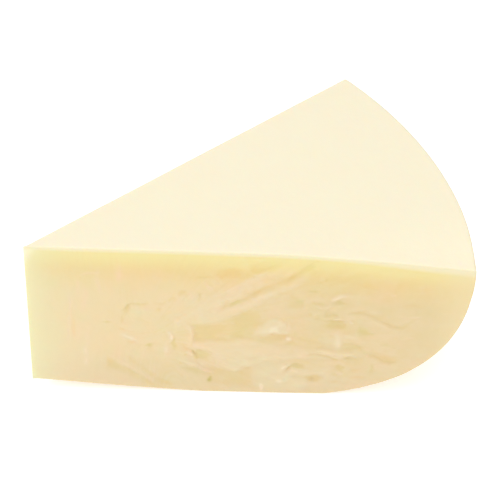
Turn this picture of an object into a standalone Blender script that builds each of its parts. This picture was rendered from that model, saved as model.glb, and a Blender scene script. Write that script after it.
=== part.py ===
"""Wedge of gouda, cut from half a wheel.

The wheel lies on its flat side and is halved by a level cut just under its widest line. Two upright
cuts then take a wedge of an eighth of a turn out of the lower half. The wedge is one solid piece. Its
two cut faces meet at the tip, its outer side is the wheel's rounded rim, and its underside bulges a
little, so it rests on a flat foot and leans slightly towards the rim. The level cut on top sags at the
far corner of the front cut. Both cut faces are torn where the knife dragged.

Frame: metres, +Z up, +X from the tip to the rim along the middle of the wedge, and the first cut
face on the -Y side. The origin is in the middle of the base.
"""

from collections import namedtuple
from math import cos, pi, radians, sin, tan

import bmesh
import bpy
import numpy as np
from mathutils import Matrix, Vector

MM = 0.001

# Driving dimensions, in millimetres and degrees.
WHEEL_RADIUS = 175.0
WEDGE_ANGLE = 45.0
TIP_TO_AXIS = 31.2  # the cuts meet this far outside the wheel's own axis
TIP_BLUNT = 0.3  # length lost where the thin tip is rubbed off
CUT_HEIGHT = 60.1  # level cut above the wheel's flat side
WIDEST_HEIGHT = 61.5  # the wheel's widest line above its flat side
RIM_ROUNDING = 76.4  # from the rim inwards to where the underside is flat
RIM_POWER = 2.6  # squareness of that rounding; 2 would be an ellipse
CORNER_RADIUS = 0.7  # where the level cut meets the rim
SLUMP_DEPTH = 4.5  # the level cut sags by this much at the front cut's far corner
SLUMP_START = 79.5  # distance from the tip where the sag starts
SLUMP_POWER = 1.4  # it grows with this power of the way to the corner
SLUMP_REACH = 12.0  # how far it reaches back from the front cut
SLUMP_FLOOR = 44.0  # the rim below this height is not pushed down by it
HOLLOW_RISE = 4.6  # rise of the underside at the tip
HOLLOW_REACH = 113.0  # how far from the tip that rise reaches
LEAN = 1.0  # lean towards the rim when the wedge rests
LEAN_PIVOT = 88.0  # distance of the weight's line from the tip
FOOT_DEPTH = 1.8  # the underside is pressed flat over this depth
FOOT_BLEND = 0.05  # height over which the foot's flat runs into the bulge around it

# How finely the solid is divided.
SPIN_STEPS = 26
LOW_POINTS = 48
TOP_POINTS = 14
CORNER_STEPS = 3
FINE_POINTS = 400  # of the exact outline, before it is divided evenly
FRONT_PITCH = 1.75
BACK_PITCH = 2.8

# The knife takes off everything outside a cut face: how thick it is, and how far it overlaps.
KNIFE_THICKNESS = 25.0
KNIFE_OVERLAP = 8.0
SECTOR_HALF_ANGLE = 21.5

HALF_ANGLE = radians(WEDGE_ANGLE / 2)
BASE_MIDDLE = (TIP_BLUNT + WHEEL_RADIUS - TIP_TO_AXIS) / 2  # from where the cuts meet to the origin
RIM_EDGE = (WHEEL_RADIUS**2 - (TIP_TO_AXIS * sin(HALF_ANGLE)) ** 2) ** 0.5 - TIP_TO_AXIS * cos(HALF_ANGLE)

CHEESE = (0.89, 0.72, 0.39)
CHEESE_ROUGHNESS = 0.5

# One mark of the torn face. It runs from start to end, each given as (distance from the tip, height),
# and bows up by bow in its middle. Its section is width wide and depth deep; a raised mark has a
# negative depth. On a step the deep side falls off at once towards one side and slowly towards the
# other: above the line for step = 1, below it for step = -1, and alike on both sides for step = 0.
Mark = namedtuple("Mark", "start end bow width depth step")

FRONT_MARKS = (
    Mark((61, 34), (97, 56), 0.5, 1.6, 1.3, 0),  # long furrow
    Mark((48, 28), (88, 55), 0.8, 2.6, -0.8, 0),  # fold above the furrow
    Mark((58, 28), (95, 50), 0.4, 2.0, -0.8, 0),  # fold below the furrow
    Mark((54, 26), (93, 40), 0.6, 5.0, 1.0, 0),  # hollow under the folds
    Mark((74, 26), (90, 30), 1.2, 2.6, -1.4, 0),  # lump in the hollow
    Mark((76, 24), (93, 22), 0.0, 1.6, 1.1, 0),  # pocket under the lump
    Mark((50, 22), (125, 13.2), 2.5, 4.5, 1.3, 1),  # long ledge
    Mark((92, 17), (112, 16), 0.0, 1.5, 0.7, -1),  # lip under the ledge's end
    Mark((104, 36), (125, 29), 1.8, 2.2, 0.8, -1),  # curved crack
    Mark((93, 35), (108, 31), 1.0, 2.4, 0.9, 0),  # pit beside the crack
    Mark((99, 40), (107, 43.5), 0.3, 1.6, -0.6, 0),  # raised fleck
    Mark((31, 33), (46, 38), 1.5, 2.4, 0.7, -1),  # edge of a flake
    Mark((33, 28), (44, 34), 0.5, 2.4, -0.5, 0),  # the flake
    Mark((62, 49), (81, 56), 0.0, 2.6, 0.7, 0),  # crumbly patch under the top edge
    Mark((46, 26), (56, 13), -2.0, 1.8, 0.9, -1),  # curl at the ledge's end
    Mark((32, 15), (46, 2), -0.8, 2.0, 0.8, 1),  # drag mark
    Mark((46, 15), (60, 3), -0.8, 2.4, 0.8, 1),  # drag mark
    Mark((64, 8), (86, 12), 2.0, 3.0, 0.8, -1),  # lower edge of the ledge
    Mark((86, 10), (106, 10), 2.0, 2.2, 0.7, 1),  # low pocket
)

BACK_MARKS = (
    Mark((36, 12), (78, 40), 1.0, 2.2, 1.1, 0),
    Mark((32, 18), (70, 46), 0.6, 2.8, -0.8, 0),
    Mark((70, 20), (112, 44), 1.5, 4.0, 1.0, 1),
    Mark((90, 12), (124, 28), 0.5, 3.0, 0.9, -1),
    Mark((20, 44), (52, 52), -1.0, 2.6, 0.7, 1),
    Mark((88, 48), (120, 40), 1.0, 3.0, -0.7, 0),
    Mark((52, 8), (84, 12), 1.0, 3.0, 0.8, 1),
)

SHARP_SIDE = 2.5  # how many times faster a stepped mark falls off on its sharp side
SWELL_HEIGHT = 0.35  # the knife's slow wander off its plane
SWELL_LENGTH = 11.0
SWELL_RISE = 8.0
WANDER_ALONG = 1.2  # the marks wander by this much along the face
WANDER_UP = 0.8  # and by this much up it
END_FADE = 6.0  # the relief dies away over this distance from the tip and the rim
EDGE_FADE = 5.0  # and over this one from the top and bottom edges
TOP_SHARE = 0.25  # share of the relief that is left at the top edge
BOTTOM_SHARE = 0.4  # and at the bottom edge
EDGE_MARGIN = 2.0


def remove_everything():
    """Empties the file of objects."""
    for thing in list(bpy.data.objects):
        bpy.data.objects.remove(thing, do_unlink=True)


def underside(radius):
    """Height of the wheel's flat side at a distance from its axis, before the wedge leans."""
    run = np.clip((radius - (WHEEL_RADIUS - RIM_ROUNDING)) / RIM_ROUNDING, 0, 1)
    rise = 1 - (1 - run**RIM_POWER) ** (1 / RIM_POWER)
    hollow = np.clip(1 - (radius - TIP_TO_AXIS) / HOLLOW_REACH, 0, 1)
    return WIDEST_HEIGHT * rise + HOLLOW_RISE * hollow**2


def sag(along, inward):
    """How far the level cut sags at a distance from the tip and another behind the front cut."""
    run = np.clip((along - SLUMP_START) / (RIM_EDGE - SLUMP_START), 0, 1)
    return SLUMP_DEPTH * run**SLUMP_POWER * np.exp(-((np.maximum(inward, 0) / SLUMP_REACH) ** 1.5))


def rim_radius(height):
    """Distance of the rim from the wheel's axis at a height on the rounding."""
    run = (1 - (1 - height / WIDEST_HEIGHT) ** RIM_POWER) ** (1 / RIM_POWER)
    return WHEEL_RADIUS - RIM_ROUNDING * (1 - run)


def wheel_profile():
    """Outline of half a slice through the wheel, as (distance from its axis, height) pairs."""
    inner = TIP_TO_AXIS + TIP_BLUNT
    corner = CUT_HEIGHT - CORNER_RADIUS
    side = rim_radius(corner)
    flat = np.linspace(inner, WHEEL_RADIUS - RIM_ROUNDING, FINE_POINTS)
    curve = rim_radius(np.linspace(0, corner, FINE_POINTS)[1:])
    radii = np.concatenate([flat, curve])
    heights = underside(radii)
    length = np.concatenate([[0], np.cumsum(np.hypot(np.diff(radii), np.diff(heights)))])
    even = np.linspace(0, length[-1], LOW_POINTS)
    low = list(zip(np.interp(even, length, radii), np.interp(even, length, heights)))
    bend = [
        (side - CORNER_RADIUS * (1 - cos(a)), corner + CORNER_RADIUS * sin(a))
        for a in np.linspace(0, pi / 2, CORNER_STEPS + 1)[1:]
    ]
    top = np.linspace(side - CORNER_RADIUS, inner, TOP_POINTS)[1:]
    return low + bend + [(r, CUT_HEIGHT) for r in top]


def resting_height(ahead, height):
    """Height above the floor of a point this far ahead of the tip, once the wedge leans on its foot."""
    height = height - tan(radians(LEAN)) * (ahead - LEAN_PIVOT) - FOOT_DEPTH
    if height >= FOOT_BLEND:
        return height
    return max(height + FOOT_BLEND, 0) ** 2 / (4 * FOOT_BLEND)


def make_sector():
    """The wheel's sector, leaning as it rests and flat under its foot, in the wedge's frame."""
    mesh = bmesh.new()
    ring = [mesh.verts.new((r * MM, 0, z * MM)) for r, z in wheel_profile()]
    edges = [mesh.edges.new((a, b)) for a, b in zip(ring, ring[1:] + ring[:1])]
    sweep = radians(2 * SECTOR_HALF_ANGLE)
    bmesh.ops.rotate(mesh, verts=ring, cent=(0, 0, 0), matrix=Matrix.Rotation(-sweep / 2, 3, "Z"))
    bmesh.ops.spin(mesh, geom=ring + edges, cent=(0, 0, 0), axis=(0, 0, 1), angle=sweep, steps=SPIN_STEPS)
    bmesh.ops.holes_fill(mesh, edges=mesh.edges[:], sides=0)
    for vert in mesh.verts:
        ahead, across, height = vert.co.x / MM - TIP_TO_AXIS, vert.co.y / MM, vert.co.z / MM
        inward = ahead * sin(HALF_ANGLE) + across * cos(HALF_ANGLE)
        share = max((height - SLUMP_FLOOR) / (CUT_HEIGHT - SLUMP_FLOOR), 0)
        height -= share * sag((ahead**2 + across**2) ** 0.5, inward)
        vert.co.x = (ahead - BASE_MIDDLE) * MM
        vert.co.z = resting_height(ahead, height) * MM
    bmesh.ops.recalc_face_normals(mesh, faces=mesh.faces[:])
    return finish_mesh(mesh, "gouda_wedge")


def mark_depth(along, up, mark):
    """Depth that one mark cuts at each point: its section across, times a taper along its length."""
    run_along = mark.end[0] - mark.start[0]
    run_up = mark.end[1] - mark.start[1]
    length = (run_along**2 + run_up**2) ** 0.5
    share = ((along - mark.start[0]) * run_along + (up - mark.start[1]) * run_up) / length**2
    across = ((up - mark.start[1]) * run_along - (along - mark.start[0]) * run_up) / length
    across = (across - mark.bow * 4 * share * (1 - share)) / mark.width
    taper = np.clip(1 - (2 * share - 1) ** 4, 0, 1)
    sharp = np.exp(-((across * SHARP_SIDE) ** 2))
    slow = np.exp(-np.abs(across))
    if mark.step == 0:
        section = np.exp(-(across**2))
    else:
        section = np.where(across * mark.step > 0, slow, sharp)
    return mark.depth * taper * section


def faded(distance, reach, share=0.0):
    """Rises from a share of one at no distance to one at the reach."""
    return share + (1 - share) * np.clip(distance / reach, 0, 1)


def torn_depth(along, up, top_edge, marks):
    """Depth of the relief: slow waves and the marks, dying away towards the face's edges."""
    bent_along = along + WANDER_ALONG * np.sin(up / 5 + along / 13)
    bent_up = up + WANDER_UP * np.sin(along / 6 + 1) * np.sin(up / 9)
    wave_along = np.sin(bent_along / SWELL_LENGTH + 0.6 * np.sin(up / 7))
    depth = SWELL_HEIGHT * wave_along * np.cos(bent_up / SWELL_RISE + along / 29)
    for mark in marks:
        depth = depth + mark_depth(bent_along, bent_up, mark)
    ends = faded(along, END_FADE) * faded(RIM_EDGE - EDGE_MARGIN - along, END_FADE)
    top = faded(top_edge - EDGE_MARGIN - up, EDGE_FADE, TOP_SHARE)
    bottom = faded(up - EDGE_MARGIN, EDGE_FADE, BOTTOM_SHARE)
    return depth * ends * top * bottom


def make_knife(name, side, pitch, marks):
    """A block whose inner face is the torn cut on one side: -1 for the front, 1 for the back."""
    low, high = -KNIFE_OVERLAP, CUT_HEIGHT + KNIFE_OVERLAP
    length = RIM_EDGE + 2 * KNIFE_OVERLAP
    columns, rows = round(length / pitch), round((high - low) / pitch)
    mesh = bmesh.new()
    bmesh.ops.create_grid(mesh, x_segments=columns, y_segments=rows, size=0.5)
    flat = np.array([vert.co[:2] for vert in mesh.verts])
    along = (flat[:, 0] + 0.5) * length - KNIFE_OVERLAP
    up = (flat[:, 1] + 0.5) * (high - low) + low
    top_edge = CUT_HEIGHT - sag(along, 0) * (side < 0)
    depth = torn_depth(along, up, top_edge, marks)
    run = (cos(HALF_ANGLE), side * sin(HALF_ANGLE), 0)
    outward = (-sin(HALF_ANGLE), side * cos(HALF_ANGLE), 0)
    places = np.outer(along, run) + np.outer(up, (0, 0, 1)) - np.outer(depth, outward)
    places[:, 0] -= BASE_MIDDLE
    for vert, place in zip(mesh.verts, places * MM):
        vert.co = place
    grown = bmesh.ops.extrude_face_region(mesh, geom=mesh.faces[:])["geom"]
    moved = [item for item in grown if isinstance(item, bmesh.types.BMVert)]
    bmesh.ops.translate(mesh, verts=moved, vec=Vector(outward) * KNIFE_THICKNESS * MM)
    bmesh.ops.recalc_face_normals(mesh, faces=mesh.faces[:])
    knife = finish_mesh(mesh, name)
    knife.hide_render = True
    knife.display_type = "WIRE"
    return knife


def finish_mesh(mesh, name):
    """Turns the working mesh into an object of that name."""
    data = bpy.data.meshes.new(name)
    mesh.to_mesh(data)
    mesh.free()
    thing = bpy.data.objects.new(name, data)
    bpy.context.scene.collection.objects.link(thing)
    return thing


def cheese_material():
    """Pale yellow cheese with a soft, slightly greasy surface."""
    material = bpy.data.materials.new("cheese")
    material.use_nodes = True
    shader = material.node_tree.nodes["Principled BSDF"]
    shader.inputs["Base Color"].default_value = (*CHEESE, 1)
    shader.inputs["Roughness"].default_value = CHEESE_ROUGHNESS
    shader.inputs["Metallic"].default_value = 0
    return material


def make_wedge():
    """The whole wedge: the wheel's sector less what the two knives take off."""
    wedge = make_sector()
    knives = (
        make_knife("front_knife", -1, FRONT_PITCH, FRONT_MARKS),
        make_knife("back_knife", 1, BACK_PITCH, BACK_MARKS),
    )
    for knife in knives:
        cut = wedge.modifiers.new(knife.name, "BOOLEAN")
        cut.operation = "DIFFERENCE"
        cut.solver = "EXACT"
        cut.object = knife
    wedge.data.materials.append(cheese_material())
    wedge.data.shade_smooth()
    wedge.data.set_sharp_from_angle(angle=radians(40))
    return wedge


remove_everything()
make_wedge()
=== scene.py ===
"""Dressed wedge of gouda: one closed surface with the tears of its two cuts, on a pale stage.

Lengths inside the shape functions are millimetres and become metres where the mesh is made. The frame is
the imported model's: +Z up, +X from the tip to the rim, and the front cut on the -Y side.
"""

from collections import namedtuple
from math import cos, pi, radians, sin, tan

import bpy
import numpy as np
from bpy.props import FloatProperty, FloatVectorProperty, PointerProperty
from bpy.types import Operator, Panel, PropertyGroup
from mathutils import Matrix, Vector


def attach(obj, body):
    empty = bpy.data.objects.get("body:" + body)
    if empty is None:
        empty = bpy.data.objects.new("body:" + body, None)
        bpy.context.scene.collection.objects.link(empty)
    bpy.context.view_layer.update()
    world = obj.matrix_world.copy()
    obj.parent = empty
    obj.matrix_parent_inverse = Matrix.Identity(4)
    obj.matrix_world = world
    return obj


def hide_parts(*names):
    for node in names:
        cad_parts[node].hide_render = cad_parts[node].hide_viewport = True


bl_info = {
    "name": "Gouda wedge",
    "version": (1, 0, 0),
    "blender": (4, 5, 0),
    "location": "3D View > Sidebar > Gouda",
    "description": "A wedge cut from half a gouda wheel, with torn cut faces, on a pale stage",
    "category": "Object",
}

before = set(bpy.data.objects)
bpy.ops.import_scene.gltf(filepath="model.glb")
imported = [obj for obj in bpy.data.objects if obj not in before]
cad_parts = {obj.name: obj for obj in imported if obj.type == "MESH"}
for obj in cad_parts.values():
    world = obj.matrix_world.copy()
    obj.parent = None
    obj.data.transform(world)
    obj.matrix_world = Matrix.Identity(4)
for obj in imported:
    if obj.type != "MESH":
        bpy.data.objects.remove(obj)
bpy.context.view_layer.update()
MM = 0.001

# The wedge's form, in millimetres and degrees, the same as the solid's.
TIP_BLUNT = 0.3
WIDEST_HEIGHT = 61.5
RIM_ROUNDING = 76.4
RIM_POWER = 2.6
CORNER_RADIUS = 0.7
SLUMP_DEPTH = 4.5
SLUMP_START = 79.5
SLUMP_POWER = 1.4
SLUMP_REACH = 12.0
SLUMP_FALL = 1.5
SLUMP_FLOOR = 44.0
HOLLOW_RISE = 4.6
HOLLOW_REACH = 113.0
LEAN = 1.0
LEAN_PIVOT = 88.0
FOOT_DEPTH = 1.8
FOOT_BLEND = 0.05

# How the surface is divided.
COLUMNS = 196  # along the back cut, and twice as many along the front one
ROWS = 72  # up the back cut, and twice as many up the front one
EDGE_ROWS = 4  # round the edge of each cut face
BAND_ROWS = 36  # from one cut face to the other
FINE_POINTS = 600  # of each run of the outline before it is divided evenly
ARC_POINTS = 60  # of the arc at the rim's upper corner
SPLIT_HEIGHT = 16.0  # where the outline's lower run meets its rim run
EDGE_ROUND = 0.65  # radius of the cut faces' edges
EDGE_ROUND_SHARE = 0.3  # the same radius near the tip, as a share of the distance from it
DEPTH_REACH = 2.5  # how far the tears are felt behind the cut face
RELAX_ROUNDS = 60  # how often a cut's inner points are evened out
BAND_CROWDING = 0.8  # how strongly the rows between the cuts crowd together at their edges

# One mark of a torn face, in millimetres: it runs from one (distance from the tip, height) to another. Its
# section is width wide and depth deep, and a raised one has a negative depth. tone is how much paler it is
# than the cheese round it, or how much deeper in colour if negative; in some marks it is painted: painted
# highlights on the smear, and painted shadows beside flakes and under highlights. tint is how much warmer
# it is, or greener if negative. It bows up by bow in its middle. step = 1 or -1 makes it fall off sharply
# on one side and slowly above or below it.
Mark = namedtuple("Mark", "along up to_along to_up width depth tone tint bow step", defaults=(0, 0, 0))

# A longer mark that follows a line through several (distance from the tip, height) points.
Trail = namedtuple("Trail", "line width depth tone tint", defaults=(0,))

# One zone of a torn face: the cheese between a lower and an upper line. Both lines have soft edges, and
# ends gives how far it takes to set in at its two ends.
Zone = namedtuple("Zone", "low high soft ends depth tone tint")

FURROW = (
    (47, 26.5), (52, 30.3), (57, 33), (62, 35.4), (66.5, 37.7), (70, 39.6), (74, 42), (77.5, 44),
    (84, 48), (90, 51.6), (96, 56),
)
FOLD_TOP = (
    (47, 28), (48.5, 31), (52, 33.6), (55.4, 36.3), (58, 38.6), (62, 41.2), (66, 43.5), (72, 47.5),
    (80, 52), (88, 56), (96, 60),
)
RIDGE_FOOT = (
    (52, 29.5), (58, 29.2), (62, 30), (66, 32), (71, 35), (76, 38.1), (80, 41.3), (84, 43.5), (90, 47),
    (98, 51.5),
)
LEDGE_TOP = (
    (53, 21), (56, 21.7), (60, 21.8), (65, 22.3), (69, 23.4), (72, 23.5), (76, 22.3), (80, 21),
    (84, 20.1), (96, 19.4), (108, 18),
)
LEDGE_FOOT = (
    (53, 18.6), (58, 18.4), (60.3, 17), (61, 14.5), (62, 12), (65, 10), (68, 9.8), (73.5, 12.3),
    (77, 14.2), (82, 15), (94, 15.8), (108, 15),
)
LUMP_FOOT = ((73.5, 25.2), (78, 25.2), (80, 26.2), (82, 25.9), (86, 25.7))
CRACK = (
    (104, 34.6), (106, 34.9), (108.5, 35.2), (110.5, 34.9), (112.5, 34.1), (116.5, 31.5), (118.4, 30.1),
    (120.4, 29.2), (122.5, 29), (125, 30.6), (127.5, 32.6),
)
LOW_DRAG = ((24.5, 14.2), (26.5, 12.6), (29, 10.4), (32, 8.9), (34, 6.8), (36.5, 5.1), (40, 3.4), (43, 2))

FRONT_ZONES = (
    # the folds above and below the furrow, paler partly as painted light on their raised faces
    Zone(FURROW, FOLD_TOP, 0.9, (3, 9), -0.35, 0.24, 0.1),
    Zone(RIDGE_FOOT, FURROW, 0.7, (4, 9), -0.3, 0.35, 0.0),
    # the hollow under the folds, darker partly as painted shade
    Zone(LEDGE_TOP[:8], RIDGE_FOOT[:7], 0.7, (2.5, 12), 0.4, -0.55, 0.1),
    # the ledge, paler partly as painted light on its upward face
    Zone(LEDGE_FOOT, LEDGE_TOP, 0.6, (2.5, 10), -0.4, 0.35, 0.15),
    # the lump, paler partly as painted light, with a faint painted highlight
    Zone(
        LUMP_FOOT,
        ((73.5, 25.7), (75.5, 28), (78, 30.8), (80.4, 31.3), (83, 31), (85, 29.3), (86, 26.5)),
        0.7, (2, 1.5), -0.4, 1.1, -0.6,
    ),
    # the pocket under the lump: painted shadow, partly a warmer colour
    Zone(
        ((76, 23.2), (80, 23), (86, 23.5)),
        ((76, 25), (78, 25.1), (80, 26), (82, 25.8), (86, 25.5)),
        0.5, (3, 1.5), 0.3, -0.5, 0.6,
    ),
    Zone(
        ((61, 49.5), (65, 48.6), (70, 48.4), (74, 49.5)),
        ((61, 51.8), (64, 51.5), (66.5, 52.7), (70, 52.3), (74, 51.4)),
        0.7, (3, 2), 0.25, -0.8, 0.6,
    ),
    Zone(
        ((72, 52), (75, 51.4), (78, 51.5), (82, 53.5), (85, 55)),
        ((72, 54), (75, 55), (78, 56), (85, 56)),
        0.8, (2, 4), 0.25, -1.6, 0.9,
    ),
    Zone(
        ((56, 8), (60, 4), (66, 3), (74.5, 3)),
        ((56, 13), (60.5, 13), (62, 11.5), (65, 9.6), (68, 9.4), (74.5, 12)),
        1.0, (4, 2), 0.3, -0.6, 0.5,
    ),
    Zone(
        ((54, 15), (57, 13.8), (60.5, 13.5)),
        ((54, 18.2), (58, 18.2), (60.5, 17)),
        0.6, (1.5, 2), 0.3, -0.6, -0.4,
    ),
    Zone(
        ((73.5, 3), (80, 2.2), (90, 3), (102, 5)),
        ((73.5, 12), (78, 14), (86, 13), (92, 11), (102, 10)),
        1.2, (3, 12), -0.1, 0.35, -0.6,
    ),
    Zone(
        ((84, 38), (86, 36.8), (90, 37), (91.5, 38)),
        ((84, 41.5), (87, 42.4), (90, 41.5), (91.5, 40)),
        0.7, (3, 1.5), 0.3, -0.5, -0.2,
    ),
    Zone(
        ((96.8, 33.4), (102.5, 33.3)),
        ((96.8, 36), (98.5, 36), (102.5, 33.8)),
        0.5, (1, 2.5), 0.3, -0.4, -0.2,
    ),
    Zone(
        ((87, 30), (94, 27), (104, 22), (112, 18)),
        ((87, 35), (94, 30), (104, 26), (112, 24)),
        1.5, (6, 6), 0.0, 0.15, -0.3,
    ),
)

# The back cut can't be seen in the photograph, so its zones and marks are like the front one's.
# Here too the deeper zones and marks are darker and the raised ones paler: painted shade and painted light.
BACK_ZONES = (
    Zone(((34, 10), (56, 24), (80, 38)), ((34, 16), (54, 36), (76, 46)), 0.7, (5, 5), -0.3, 0.3, 0.1),
    Zone(((56, 22), (80, 30), (110, 34)), ((56, 26), (80, 40), (110, 45)), 0.8, (4, 6), 0.35, -0.5, 0.1),
    Zone(((60, 10), (90, 14), (122, 18)), ((60, 18), (90, 24), (122, 24)), 0.8, (4, 6), -0.35, 0.4, -0.2),
)

FRONT_TRAILS = (
    # the long furrow, darker partly as painted shade and partly its deeper colour, and the top edge of the
    # fold above it
    Trail(FURROW[3:], 1.15, 0.35, -0.95),
    Trail(FOLD_TOP[1:9], 0.5, -0.15, 0.25, 0.2),
    Trail(((48, 28.5), (52, 32.2), (56, 35.2), (60, 37.6), (66, 40.5), (72, 44)), 1.1, -0.3, 0.3, -0.1),
    # a flake left of the folds, and drag marks low down
    Trail(((30.6, 33.8), (32, 34.4), (33.6, 36.6), (34.6, 37.2), (37, 37.3), (41, 37.2)), 0.5, 0.25, -0.4),
    Trail(LOW_DRAG, 1.4, 0.3, -0.8),
    Trail(((28, 13.5), (31.5, 11.6), (34, 9.3), (37, 6.6), (42, 4)), 0.8, -0.25, 0.35, 0.6),
    Trail(((31.5, 15.6), (34, 12.8), (37, 9.6), (39.5, 7.5), (43, 5), (48, 2.4)), 0.9, 0.25, -0.5, 0.3),
    # the curved crack, darker partly as painted shade, paler along its lower side partly as painted light,
    # and lines near it
    Trail(CRACK, 0.7, 0.25, -0.35),
    Trail(tuple((along, up - 1.3) for along, up in CRACK[:9]), 0.7, -0.15, 0.15, 0.2),
    Trail(((93.2, 37.8), (96, 36.7), (98, 37.2), (99.4, 39.2), (100.4, 41)), 0.4, -0.2, 0.4, 0.3),
    Trail(((95.5, 32.2), (98, 32.7), (101, 32.5), (104.5, 31.7)), 0.6, -0.25, 0.35, 0.4),
    # the ledge's far end: its slot, its lip and the line that falls away from it
    Trail(
        ((91, 17.2), (94, 17.3), (96, 17), (98, 16.3), (100, 15.6), (102.5, 15.3)),
        0.55, 0.35, -0.7, -0.2,
    ),
    Trail(
        ((94, 18.8), (97, 18.6), (100, 18.3), (104, 17.8), (107, 17.5), (109.5, 16.4)),
        0.8, -0.5, 0.4, 0.1,
    ),
    Trail(
        (
            (102, 21.8), (106, 21.5), (108, 20.5), (109.5, 19), (112, 17.5), (115, 16), (117, 14.7),
            (122, 14.5),
        ),
        0.7, 0.25, -0.35,
    ),
    Trail(((66, 11.5), (70, 12.5), (73.5, 13.6), (77, 15.2), (82, 15.9), (90, 15.8)), 0.9, -0.2, 0.3, -0.3),
)

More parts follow.
